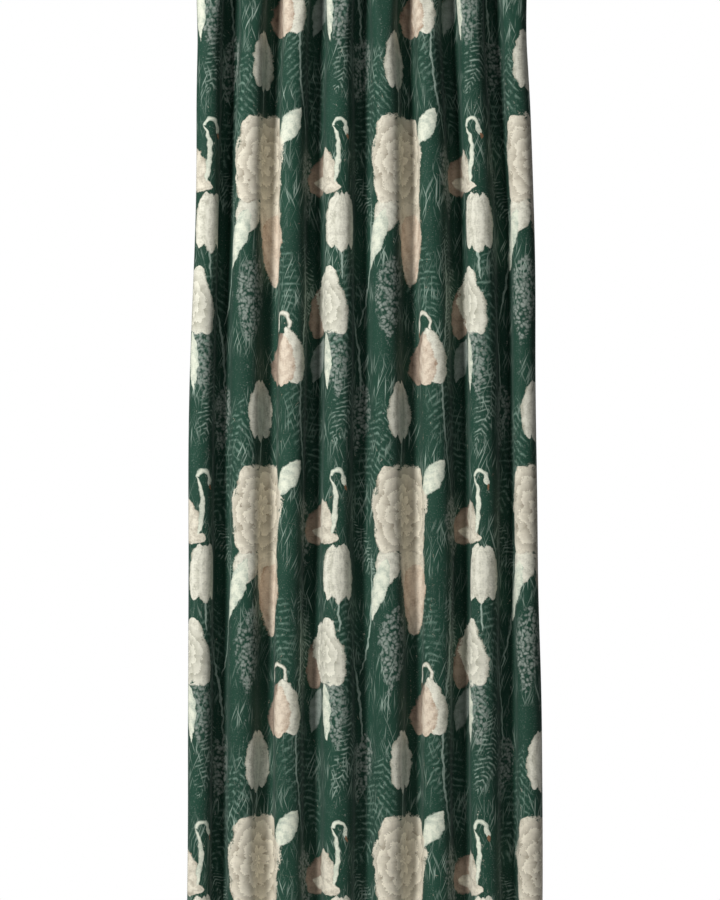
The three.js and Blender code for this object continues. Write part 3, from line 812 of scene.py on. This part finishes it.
def print_group(ground):
    """The whole print, by place on the flat cloth in metres across and down."""
    tree, n, given, out = new_group("botanical_print", (("Place", VECTOR, (0, 0, 0)),), (("Color", COLOR),))
    leaf, bloom, arc, coat = leaf_group(), bloom_group(), arc_group(), paint_group()
    flat = given["Place"]
    drift = n.add("ShaderNodeTexNoise", {"Vector": flat, "Scale": 55.0, "Detail": 1.0})
    away = n.vector("SUBTRACT", drift.outputs["Color"], (0.5, 0.5, 0.5))
    place = n.vector("MULTIPLY_ADD", away, (0.011, 0.011, 0), flat)
    fine = n.math("SUBTRACT", n.noise(flat, 260.0, 2.0, 0.6), 0.5)
    brush = n.math("ADD", fine, n.math("MULTIPLY_ADD", n.noise(flat, 62.0, 1.0), 0.9, -0.45))
    cells = n.add("ShaderNodeTexVoronoi", {"Vector": place, "Scale": 150.0}, feature="F1")
    floret = n.math("MULTIPLY_ADD", cells.outputs["Distance"], -2.3, 1.6, clamp=True)
    dark = tuple(0.62 * c for c in ground)
    color = n.mix(n.noise(flat, 9.0), (*dark, 1), (*ground, 1))
    # grass and seed heads that fill the ground between the larger motifs
    clumps = n.math("MULTIPLY_ADD", n.noise(place, 11.0, 1.0), 4.5, -1.9, clamp=True)
    for lean, coverage in ((0.42, -6.35), (-0.34, -6.5), (0.06, -6.4)):
        leaning = n.add("ShaderNodeMapping", {"Vector": flat, "Rotation": (0, 0, lean),
                                              "Scale": (1.0, 18.0, 1.0)}, vector_type="TEXTURE").outputs[0]
        blade = n.math("MULTIPLY_ADD", n.noise(leaning, 260.0, 1.0, 0.6), 10.5, coverage, clamp=True)
        share = n.math("MULTIPLY", n.math("MULTIPLY", blade, clumps), 0.75)
        color = n.mix(share, color, (*INKS["sage"][0], 1))
    seeds = n.noise(flat, 330.0, 1.0)
    seed = n.math("MULTIPLY_ADD", seeds, 14.0, -8.9, clamp=True)
    bare = n.math("SUBTRACT", 1.15, clumps, clamp=True)
    color = n.mix(n.math("MULTIPLY", n.math("MULTIPLY", seed, bare), 0.3), color, (*INKS["lilac"][0], 1))
    broken = n.math("MULTIPLY_ADD", n.noise(flat, 85.0, 1.0), 4.5, -1.75, clamp=True)
    for kind, ink, centre, turn, size, extra in MOTIFS:
        settings = {**KINDS[kind], **extra}
        light, shade = ((*c, 1) for c in INKS[ink])
        shape = {"bloom": bloom, "arc": arc}.get(kind, leaf)
        motif = n.group(shape, place=place, brush=brush,
                        centre=(centre[0] * MM, centre[1] * MM, 0), turn=(0, 0, math.radians(turn)),
                        size=(size[0] * MM / 2, size[1] * MM / 2, 1), **settings).outputs
        mask = motif["Mask"]
        if kind == "fern":
            fronds = n.math("MULTIPLY", n.math("POWER", motif["Vein"], 3.0), broken)
            mask = n.math("MULTIPLY", mask, fronds)
        if kind == "cone":
            mask = n.math("MULTIPLY", mask, floret)
        color = n.group(coat, under=color, mask=mask, tone=motif["Tone"], light=light, dark=shade).outputs[0]
    tree.links.new(color, out["Color"])
    return tree


def weave_group():
    """Warp and weft with slubs: a height, and painted shade that follows it, darker where the threads lie low
    and lighter where they rise.
    """
    tree, n, given, out = new_group("weave", (("Place", VECTOR, (0, 0, 0)), ("Pitch", FLOAT, 1.1 * MM)),
                                    (("Height", FLOAT), ("Shade", FLOAT)))
    scale = n.math("DIVIDE", 1.0, given["Pitch"])
    fine = n.add("ShaderNodeVectorMath", {0: given["Place"], "Scale": scale}, operation="SCALE").outputs[0]
    warp = n.noise(n.vector("MULTIPLY", fine, (1.0, 0.05, 1.0)), 1.0, 1.0)
    weft = n.noise(n.vector("MULTIPLY", fine, (0.05, 1.0, 1.0)), 1.0, 1.0)
    height = n.math("ADD", warp, weft)
    tree.links.new(n.math("MULTIPLY", height, 0.5), out["Height"])
    tree.links.new(n.math("MULTIPLY_ADD", height, 0.5, 0.5), out["Shade"])
    return tree


def new_material(name):
    material = bpy.data.materials.new(name)
    material.use_nodes = True
    tree = material.node_tree
    tree.nodes.clear()
    n = Nodes(tree)
    shader = n.add("ShaderNodeBsdfPrincipled")
    output = n.add("ShaderNodeOutputMaterial")
    tree.links.new(shader.outputs[0], output.inputs[0])
    return material, n, shader


def link(n, value, shader, socket):
    n.tree.links.new(value, shader.inputs[socket])


def bump(n, shader, height, distance, strength=1.0):
    node = n.add("ShaderNodeBump", {"Height": height, "Distance": distance, "Strength": strength})
    link(n, node.outputs[0], shader, "Normal")


def cloth_material(name, pattern, weave, wash):
    """Printed cloth. wash is how far the print is paler, as on the reverse."""
    material, n, shader = new_material(name)
    flat = n.add("ShaderNodeUVMap", uv_map="Cloth").outputs[0]
    threads = n.group(weave, place=flat).outputs
    color = n.group(pattern, place=flat).outputs[0]
    if wash:
        color = n.mix(wash, color, (0.33, 0.38, 0.345, 1))
    # painted shade: the print is made darker where the weave lies low and lighter where it rises
    shade = n.math("MULTIPLY_ADD", threads["Shade"], 0.5, 0.5)
    color = n.mix(1.0, color, shade, "MULTIPLY")
    link(n, color, shader, "Base Color")
    rough = n.math("MULTIPLY_ADD", n.noise(flat, 40.0), 0.16, 0.66)
    link(n, rough, shader, "Roughness")
    shader.inputs["Sheen Weight"].default_value = 0.12
    shader.inputs["Sheen Roughness"].default_value = 0.5
    shader.inputs["Specular IOR Level"].default_value = 0.25
    bump(n, shader, threads["Height"], 0.14 * MM, 0.6)
    return material


def hard_material(name, color, metallic, roughness, grain, scratch):
    """Moulded or plated finish on Object coordinates: uneven gloss and fine marks."""
    material, n, shader = new_material(name)
    place = n.add("ShaderNodeTexCoord").outputs["Object"]
    cloudy = n.noise(place, grain, 3.0)
    fine = n.noise(n.vector("MULTIPLY", place, (1.0, 1.0, 0.12)), scratch, 2.0)
    low = tuple(0.9 * c for c in color)
    link(n, n.mix(cloudy, (*color, 1), (*low, 1)), shader, "Base Color")
    rough = n.math("MULTIPLY_ADD", cloudy, 0.14, roughness - 0.07)
    link(n, n.math("MULTIPLY_ADD", fine, 0.06, rough), shader, "Roughness")
    shader.inputs["Metallic"].default_value = metallic
    bump(n, shader, fine, 0.03 * MM, 0.5)
    return material


def thread_material(color):
    material, n, shader = new_material("sewing_thread")
    place = n.add("ShaderNodeTexCoord").outputs["Object"]
    twist = n.noise(place, 2600.0, 1.0)
    low, high = ((*(share * c for c in color), 1) for share in (0.7, 1.3))
    link(n, n.mix(twist, low, high), shader, "Base Color")
    shader.inputs["Roughness"].default_value = 0.55
    shader.inputs["Sheen Weight"].default_value = 0.2
    bump(n, shader, twist, 0.08 * MM)
    return material


def fibre_material(name, color, scale):
    """Pressed or braided fibres on the piece's own UV map."""
    material, n, shader = new_material(name)
    flat = n.add("ShaderNodeUVMap", uv_map="Cloth").outputs[0]
    fibres = n.noise(n.vector("MULTIPLY", flat, (0.35, 1.0, 1.0)), scale, 3.0, 0.7)
    link(n, n.mix(fibres, (*(0.75 * c for c in color), 1), (*color, 1)), shader, "Base Color")
    link(n, n.math("MULTIPLY_ADD", fibres, 0.15, 0.75), shader, "Roughness")
    bump(n, shader, fibres, 0.15 * MM)
    return material


def stage_material():
    material, n, shader = new_material("pale_floor")
    place = n.add("ShaderNodeTexCoord").outputs["Object"]
    cloudy = n.noise(place, 1.3, 2.0)
    link(n, n.mix(cloudy, (0.78, 0.78, 0.77, 1), (0.82, 0.82, 0.81, 1)), shader, "Base Color")
    shader.inputs["Roughness"].default_value = 0.85
    return material


# ------------------------------------------------------------------ stitches
def stitch_tree():
    """A row of stitches along the edges of a mesh: one short thread per step."""
    tree = bpy.data.node_groups.new("stitch_row", "GeometryNodeTree")
    tree.is_modifier = True
    sockets = (("Geometry", "NodeSocketGeometry", None), ("Pitch", FLOAT, 3.6 * MM),
               ("Length", FLOAT, 2.9 * MM), ("Radius", FLOAT, 0.2 * MM),
               ("Material", "NodeSocketMaterial", None))
    for title, kind, default in sockets:
        socket = tree.interface.new_socket(name=title, in_out="INPUT", socket_type=kind)
        if default is not None:
            socket.default_value = default
    tree.interface.new_socket(name="Geometry", in_out="OUTPUT", socket_type="NodeSocketGeometry")
    n = Nodes(tree)
    given = tree.nodes.new("NodeGroupInput").outputs
    out = tree.nodes.new("NodeGroupOutput").inputs
    row = n.add("GeometryNodeMeshToCurve", {"Mesh": given["Geometry"]}).outputs[0]
    even = n.add("GeometryNodeResampleCurve", mode="LENGTH")
    tree.links.new(row, even.inputs["Curve"])
    tree.links.new(given["Pitch"], even.inputs["Length"])
    tangent = n.add("GeometryNodeInputTangent").outputs[0]
    facing = n.add("FunctionNodeAlignRotationToVector", {"Vector": tangent}, axis="Z").outputs[0]
    thread = n.add("GeometryNodeMeshIcoSphere", {"Radius": 1.0, "Subdivisions": 1}).outputs[0]
    half = n.math("MULTIPLY", given["Length"], 0.5)
    size = n.add("ShaderNodeCombineXYZ", (given["Radius"], given["Radius"], half)).outputs[0]
    shaped = n.add("GeometryNodeTransform", {"Geometry": thread, "Scale": size}).outputs[0]
    placed = n.add("GeometryNodeInstanceOnPoints", {"Points": even.outputs[0], "Instance": shaped,
                                                    "Rotation": facing}).outputs[0]
    real = n.add("GeometryNodeRealizeInstances", {"Geometry": placed}).outputs[0]
    final = n.add("GeometryNodeSetMaterial", {"Geometry": real, "Material": given["Material"]}).outputs[0]
    tree.links.new(final, out["Geometry"])
    return tree


def stitched(name, lines, settings, material):
    """Lines of stitches as one plain mesh. A line is a run of points on the cloth's surface."""
    vertices, edges = [], []
    for line in lines:
        start = len(vertices)
        vertices += [tuple(p) for p in line]
        edges += [(start + i, start + i + 1) for i in range(len(line) - 1)]
    mesh = bpy.data.meshes.new(name)
    mesh.from_pydata(vertices, edges, [])
    piece = added(name, mesh)
    modifier = piece.modifiers.new("stitches", "NODES")
    tree = bpy.data.node_groups.get("stitch_row") or stitch_tree()
    modifier.node_group = tree
    values = {"Pitch": settings.stitch_pitch, "Length": settings.stitch_length,
              "Radius": settings.thread_radius, "Material": material}
    for item in tree.interface.items_tree:
        if item.in_out == "INPUT" and item.name in values:
            modifier[item.identifier] = values[item.name]
    return applied(piece)


# ------------------------------------------------------------------ fine hardware
GAP = 0.3 * MM
FACE = HEADING_STACK / 2
FLANGE_FRONT = -FACE - GAP - 1.0 * MM
WASHER_FRONT = FACE + GAP
WASHER_BACK = WASHER_FRONT + 0.8 * MM
LIP_FRONT = WASHER_BACK + GAP
EYELET_PROFILE = [(r * MM, a) for r, a in (
    (6.0, FLANGE_FRONT + 0.9 * MM), (6.03, FLANGE_FRONT + 0.45 * MM), (6.3, FLANGE_FRONT + 0.12 * MM),
    (6.8, FLANGE_FRONT), (8.0, FLANGE_FRONT + 0.02 * MM), (9.6, FLANGE_FRONT + 0.08 * MM),
    (10.9, FLANGE_FRONT + 0.22 * MM), (11.6, FLANGE_FRONT + 0.45 * MM), (11.95, FLANGE_FRONT + 0.8 * MM),
    (12.0, -FACE - GAP), (11.7, -FACE - GAP), (11.4, -FACE - GAP - 0.3 * MM), (7.3, -FACE - GAP - 0.4 * MM),
    (6.8, -FACE - GAP), (6.8, LIP_FRONT), (7.9, LIP_FRONT), (8.18, LIP_FRONT + 0.2 * MM),
    (8.1, LIP_FRONT + 0.5 * MM), (7.6, LIP_FRONT + 0.68 * MM), (7.0, LIP_FRONT + 0.7 * MM),
    (6.4, LIP_FRONT + 0.55 * MM), (6.05, LIP_FRONT + 0.2 * MM), (6.0, LIP_FRONT - 0.3 * MM))]
WASHER_PROFILE = [(r * MM, a) for r, a in (
    (7.1, WASHER_FRONT), (11.2, WASHER_FRONT), (11.45, WASHER_FRONT + 0.12 * MM),
    (11.5, WASHER_FRONT + 0.35 * MM), (11.3, WASHER_FRONT + 0.62 * MM), (10.9, WASHER_BACK - 0.04 * MM),
    (10.4, WASHER_BACK), (7.4, WASHER_BACK), (7.1, WASHER_BACK - 0.2 * MM))]

HINGE = (0.0, -RING_RADIUS, RING_Z)
KNUCKLE, PIN, NOSE, NOSE_LENGTH = 3.8 * MM, 1.0 * MM, 1.1 * MM, 3.2 * MM
TONGUE, EAR = 2.0 * MM, 1.9 * MM
EAR_AT = TONGUE / 2 + GAP + EAR / 2
TAB = (4.4 * MM, 2.6 * MM, 1.6 * MM)


def half_ring(name, start, end):
    """Half a ring with rounded ends, from one angle to another, measured from the back over the top."""
    steps, sides = 56, 20
    vertices = []
    for angle in np.linspace(start, end, steps + 1):
        for s in range(sides):
            t = 2 * math.pi * s / sides
            radius = RING_RADIUS + RING_TUBE * math.cos(t)
            vertices.append((RING_TUBE * math.sin(t), radius * math.cos(angle),
                             RING_Z + radius * math.sin(angle)))
    return outward(new_piece(name, vertices, capped_faces(steps + 1, sides)))


def round_bar(name, axis, radius, length, centre, edge=0.0, segments=40):
    """A round bar along an axis, its rims eased by edge."""
    h = length / 2
    profile = [(0, -h), (radius - edge, -h), (radius - 0.3 * edge, -h + 0.3 * edge), (radius, -h + edge),
               (radius, h - edge), (radius - 0.3 * edge, h - 0.3 * edge), (radius - edge, h), (0, h)]
    vertices, faces = turned(profile, segments, centre, axis, closed=False)
    return outward(new_piece(name, vertices, faces), merge=1e-6)


def eased_box(name, size, centre, edge):
    shape = bmesh.new()
    bmesh.ops.create_cube(shape, size=1)
    bmesh.ops.transform(shape, matrix=Matrix.Diagonal((*size, 1)), verts=shape.verts)
    bmesh.ops.bevel(shape, geom=shape.edges[:], offset=edge, segments=3, affect="EDGES", profile=0.6)
    bmesh.ops.translate(shape, vec=centre, verts=shape.verts)
    mesh = bpy.data.meshes.new(name)
    shape.to_mesh(mesh)
    shape.free()
    return added(name, mesh)


def combined(base, steps):
    """Joins and cuts, one after the other, then the tools are removed. The base keeps its materials."""
    materials = list(base.data.materials)
    for operation, tool in steps:
        modifier = base.modifiers.new(operation.lower(), "BOOLEAN")
        modifier.operation = operation
        modifier.object = tool
        modifier.solver = "EXACT"
    applied(base)
    for _, tool in steps:
        bpy.data.objects.remove(tool)
    base.data.materials.clear()
    for material in materials:
        base.data.materials.append(material)
    return base


def ring_body_shape():
    part = GAP / 2 / RING_RADIUS
    body = half_ring("ring_body", math.pi, 2 * math.pi - part)
    back = (0, RING_RADIUS, RING_Z)
    return combined(body, [
        ("UNION", round_bar("ear_a", "x", KNUCKLE, EAR, (EAR_AT, *HINGE[1:]), 0.35 * MM)),
        ("UNION", round_bar("ear_b", "x", KNUCKLE, EAR, (-EAR_AT, *HINGE[1:]), 0.35 * MM)),
        ("DIFFERENCE", round_bar("slot", "x", KNUCKLE + GAP, TONGUE + 2 * GAP, HINGE)),
        ("DIFFERENCE", round_bar("pin_hole", "x", PIN + GAP, 20 * MM, HINGE)),
        ("DIFFERENCE", round_bar("socket", "z", NOSE + GAP, 2 * (NOSE_LENGTH + GAP), back)),
    ])


def ring_gate_shape():
    part = GAP / 2 / RING_RADIUS
    gate = half_ring("ring_gate", part, math.pi)
    top, foot = RING_Z + RING_TUBE, RING_Z - NOSE_LENGTH
    width, reach, thick = TAB
    tab_at = (0, RING_RADIUS + RING_TUBE / 2 + reach / 2, RING_Z + GAP + thick)
    return combined(gate, [
        ("UNION", round_bar("tongue", "x", KNUCKLE, TONGUE, HINGE, 0.3 * MM)),
        ("UNION", round_bar("nose", "z", NOSE, top - foot, (0, RING_RADIUS, (top + foot) / 2), 0.3 * MM)),
        ("UNION", eased_box("tab", (width, RING_TUBE + reach, thick), tab_at, 0.45 * MM)),
        ("DIFFERENCE", round_bar("ear_room_a", "x", KNUCKLE + GAP, EAR + 2 * GAP, (EAR_AT, *HINGE[1:]))),
        ("DIFFERENCE", round_bar("ear_room_b", "x", KNUCKLE + GAP, EAR + 2 * GAP, (-EAR_AT, *HINGE[1:]))),
        ("DIFFERENCE", round_bar("pin_hole", "x", PIN + GAP, 20 * MM, HINGE)),
    ])


def pin_shape():
    low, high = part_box("ring_pin_1")
    half = (high[0] - low[0]) / 2
    head, thick = (high[2] - low[2]) / 2, 0.5 * MM
    shaft = half - thick
    profile = [(0, -half), (head * 0.6, -half + 0.06 * MM), (head * 0.93, -half + 0.25 * MM), (head, -shaft),
               (PIN, -shaft), (PIN, shaft), (head, shaft), (head * 0.93, half - 0.25 * MM),
               (head * 0.6, half - 0.06 * MM), (0, half)]
    vertices, faces = turned(profile, 28, HINGE, "x", closed=False)
    return outward(new_piece("ring_pin", vertices, faces), merge=1e-6)


def copies(pattern, name, material, body_of):
    """The pattern once for each eyelet, moved along the rod, standing for its CAD node."""
    pattern.data.set_sharp_from_angle(angle=math.radians(38))
    for k in range(1, EYELET_COUNT + 1):
        mesh = pattern.data.copy()
        mesh.transform(Matrix.Translation((EYELET_X[k - 1], 0, 0)))
        mesh.materials.clear()
        mesh.materials.append(material)
        piece = added(f"{name}_{k}_fine", mesh)
        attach(piece, body_of(k))
        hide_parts(f"{name}_{k}")
    bpy.data.objects.remove(pattern)


def eyelet_body(k):
    return FIRST_BODY if k == 1 else f"eyelet_set_{k}"


def hung(piece, node):
    """The piece stands for its CAD node, which is hidden, and has its placement applied to its mesh."""
    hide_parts(node)
    blend_with_draw(piece)


# ------------------------------------------------------------------ operators
class CURTAIN_OT_panel(bpy.types.Operator):
    """Weave the printed panel with its turned heading, side hems and foot hem"""
    bl_idname = "curtain.panel"
    bl_label = "Cloth panel"

    def execute(self, context):
        settings = context.scene.curtain_settings
        weave = weave_group()
        pattern = print_group(tuple(settings.ground))
        printed = cloth_material("printed_cloth", pattern, weave, 0.0)
        reverse = cloth_material("printed_cloth_reverse", pattern, weave, 0.55)
        columns = np.arange(241) * 5 * MM
        edge = np.array([0.4, 2.5, 5, 7.5, SIDE_HEM_WIDTH / MM]) * MM
        shells = [Shell(columns, panel_rows(), holes=True),
                  Shell(edge, side_hem_rows(), mirrored=True),
                  Shell(CLOTH_WIDTH - edge[::-1], side_hem_rows(), mirrored=True)]
        panel = shells_to_piece("curtain_panel_cloth", shells, printed, reverse)
        hung(panel, "curtain_panel")
        return {"FINISHED"}


class CURTAIN_OT_heading(bpy.types.Operator):
    """Lay the stiffening strip between the heading's two layers"""
    bl_idname = "curtain.heading"
    bl_label = "Heading interlining"

    def execute(self, context):
        material = fibre_material("interlining", (0.72, 0.71, 0.67), 900.0)
        near, far = 0.9 * MM, 1.4 * MM
        top, middle = 0.9 * MM, 20 * MM
        foot = HEADING_HEIGHT - 0.5 * MM
        section = [(near, foot), (near, middle), (near, top), (far, top), (far, middle), (far, foot)]
        strip = strip_piece("heading_interlining_strip", section, material)
        cut_eyelet_holes(strip)
        hung(strip, "heading_interlining")
        return {"FINISHED"}


def cut_eyelet_holes(piece):
    for x in EYELET_X:
        hole = round_bar("hole", "y", STRIP_HOLE_RADIUS, 10 * MM, (x, 0, EYELET_Z), segments=32)
        combined(piece, [("DIFFERENCE", hole)])


class CURTAIN_OT_weight_cord(bpy.types.Operator):
    """Run the weight cord through the hem"""
    bl_idname = "curtain.weight_cord"
    bl_label = "Hem weight cord"

    def execute(self, context):
        material = fibre_material("weight_cord_sleeve", (0.42, 0.43, 0.44), 1500.0)
        n = CLOTH_THICKNESS + HEM_POCKET / 2
        depth = CLOTH_HEIGHT - CLOTH_THICKNESS - GAP - CORD_RADIUS
        turn = -2 * math.pi / CORD_SIDES
        section = [(n + CORD_RADIUS * math.cos(turn * i), depth - CORD_RADIUS * math.sin(turn * i))
                   for i in range(CORD_SIDES)]
        cord = strip_piece("hem_weight_cord_sleeve", section, material)
        hung(cord, "hem_weight_cord")
        return {"FINISHED"}


class CURTAIN_OT_stitching(bpy.types.Operator):
    """Sew the heading, the side hems and the foot hem"""
    bl_idname = "curtain.stitching"
    bl_label = "Stitching"

    def execute(self, context):
        settings = context.scene.curtain_settings
        material = thread_material(tuple(settings.thread))
        proud = 0.05 * MM
        columns = np.arange(0.004, CLOTH_WIDTH - 0.003, 4 * MM)
        rows = np.arange(HEADING_HEIGHT + 4 * MM, CLOTH_HEIGHT - HEM_HEIGHT, 16 * MM)
        heading_back = HEADING_STACK + proud
        hem_back = 2 * CLOTH_THICKNESS + 0.55 * MM + proud
        lines = [cloth_row(columns, n, d)
                 for n, d in ((-proud, HEADING_HEIGHT - 2 * MM), (heading_back, HEADING_HEIGHT - 2 * MM),
                              (-proud, CLOTH_HEIGHT - HEM_HEIGHT + 2.5 * MM),
                              (hem_back, CLOTH_HEIGHT - HEM_HEIGHT + 2.5 * MM))]
        for u in (SIDE_HEM_WIDTH - 2 * MM, CLOTH_WIDTH - SIDE_HEM_WIDTH + 2 * MM):
            for n in (-proud, 2 * CLOTH_THICKNESS + 0.15 * MM + proud):
                lines.append([cloth_row(np.array([u]), n, d)[0] for d in rows])
        thread = stitched("hem_stitching", lines, settings, material)
        blend_with_draw(thread)
        return {"FINISHED"}


class CURTAIN_OT_eyelets(bpy.types.Operator):
    """Press the eyelets and their washers into the heading"""
    bl_idname = "curtain.eyelets"
    bl_label = "Eyelets"

    def execute(self, context):
        settings = context.scene.hardware_settings
        material = hard_material("nickel_plate", tuple(settings.metal_color), 1.0, 0.22, 160.0, 2400.0)
        for name, profile in (("eyelet", EYELET_PROFILE), ("eyelet_washer", WASHER_PROFILE)):
            vertices, faces = turned(profile, settings.eyelet_segments, (0, 0, EYELET_Z))
            pattern = outward(new_piece(f"{name}_pattern", vertices, faces))
            copies(pattern, name, material, eyelet_body)
        return {"FINISHED"}


class CURTAIN_OT_rings(bpy.types.Operator):
    """Mould the snap rings: bodies, gates and hinge pins"""
    bl_idname = "curtain.rings"
    bl_label = "Snap rings"

    def execute(self, context):
        settings = context.scene.hardware_settings
        plastic = hard_material("ring_plastic", tuple(settings.ring_color), 0.0, settings.ring_roughness,
                                90.0, 1500.0)
        steel = hard_material("pin_steel", (0.55, 0.55, 0.56), 1.0, 0.3, 200.0, 3000.0)
        copies(ring_body_shape(), "ring_body", plastic, lambda k: f"ring_{k}")
        copies(ring_gate_shape(), "ring_gate", plastic, lambda k: f"gate_{k}")
        copies(pin_shape(), "ring_pin", steel, lambda k: f"ring_{k}")
        return {"FINISHED"}


# each light's name, place, aim, diameter and power
LIGHTS = (
    ("key", (-3.0, -3.1, 0.4), (0, 0, -1.0), 1.2, 215),
    ("fill", (1.6, -4.2, 0.0), (0, 0, -1.1), 1.6, 18),
    ("back", (0.6, 3.6, 0.6), (0, 0, -1.0), 2.6, 55),
)
FLOOR_REACH = 1.2  # from the middle to each side
FILM_HEIGHT = 24  # in millimetres, as lenses are given


class CURTAIN_OT_stage(bpy.types.Operator):
    """Set up the camera, the soft lights and the pale floor"""
    bl_idname = "curtain.stage"
    bl_label = "Stage"

    def execute(self, context):
        settings = context.scene.stage_settings
        scene = context.scene
        camera_data = bpy.data.cameras.new("camera")
        camera = added("camera", camera_data)
        camera.location = (-0.003, -settings.camera_distance, settings.view_middle)
        camera.rotation_euler = (math.pi / 2, 0, 0)
        camera_data.sensor_fit = "VERTICAL"
        camera_data.sensor_height = FILM_HEIGHT
        camera_data.lens = FILM_HEIGHT * settings.camera_distance / settings.view_height
        scene.camera = camera
        for name, place, target, size, power in LIGHTS:
            data = bpy.data.lights.new(name, "AREA")
            data.shape = "DISK"
            data.size = size
            data.energy = power
            light = added(name, data)
            light.location = place
            aim = Vector(target) - Vector(place)
            light.rotation_euler = aim.to_track_quat("-Z", "Y").to_euler()
        world = bpy.data.worlds.new("studio")
        scene.world = world
        world.use_nodes = True
        world.node_tree.nodes.clear()
        n = Nodes(world.node_tree)
        seen = n.add("ShaderNodeLightPath").outputs["Is Camera Ray"]
        color = n.mix(seen, (0.07, 0.075, 0.08, 1), (1, 1, 1, 1))
        background = n.add("ShaderNodeBackground", (color, 1.0)).outputs[0]
        n.add("ShaderNodeOutputWorld", (background,))
        scene.view_settings.view_transform = "Standard"
        level = TOP_Z - CLOTH_HEIGHT - settings.floor_gap
        corners = [(x * FLOOR_REACH, y * FLOOR_REACH, level) for x, y in ((-1, -1), (1, -1), (1, 1), (-1, 1))]
        floor = new_piece("floor", corners, [(0, 1, 2, 3)], (stage_material(),))
        return {"FINISHED"}


OPERATORS = (CURTAIN_OT_stage, CURTAIN_OT_panel, CURTAIN_OT_heading, CURTAIN_OT_weight_cord,
             CURTAIN_OT_stitching, CURTAIN_OT_eyelets, CURTAIN_OT_rings)


class CURTAIN_PT_sidebar(bpy.types.Panel):
    """Sizes, finishes and steps of the shower curtain"""
    bl_idname = "CURTAIN_PT_sidebar"
    bl_label = "Shower curtain"
    bl_space_type = "VIEW_3D"
    bl_region_type = "UI"
    bl_category = "Curtain"

    def draw(self, context):
        for settings in (context.scene.curtain_settings, context.scene.hardware_settings,
                         context.scene.stage_settings):
            column = self.layout.column(align=True)
            for key in settings.bl_rna.properties.keys():
                if key not in ("rna_type", "name"):
                    column.prop(settings, key)
        for operator in OPERATORS:
            self.layout.operator(operator.bl_idname)


SETTINGS = (("curtain_settings", CurtainSettings), ("hardware_settings", HardwareSettings),
            ("stage_settings", StageSettings))


def register():
    for name, group in SETTINGS:
        bpy.utils.register_class(group)
        setattr(bpy.types.Scene, name, PointerProperty(type=group))
    for item in (*OPERATORS, CURTAIN_PT_sidebar):
        bpy.utils.register_class(item)


def unregister():
    for item in (CURTAIN_PT_sidebar, *reversed(OPERATORS)):
        bpy.utils.unregister_class(item)
    for name, group in reversed(SETTINGS):
        delattr(bpy.types.Scene, name)
        bpy.utils.unregister_class(group)


def main():
    register()
    bpy.ops.curtain.stage()
    bpy.ops.curtain.panel()
    bpy.ops.curtain.heading()
    bpy.ops.curtain.weight_cord()
    bpy.ops.curtain.stitching()
    bpy.ops.curtain.eyelets()
    bpy.ops.curtain.rings()


if __name__ == "__main__":
    main()
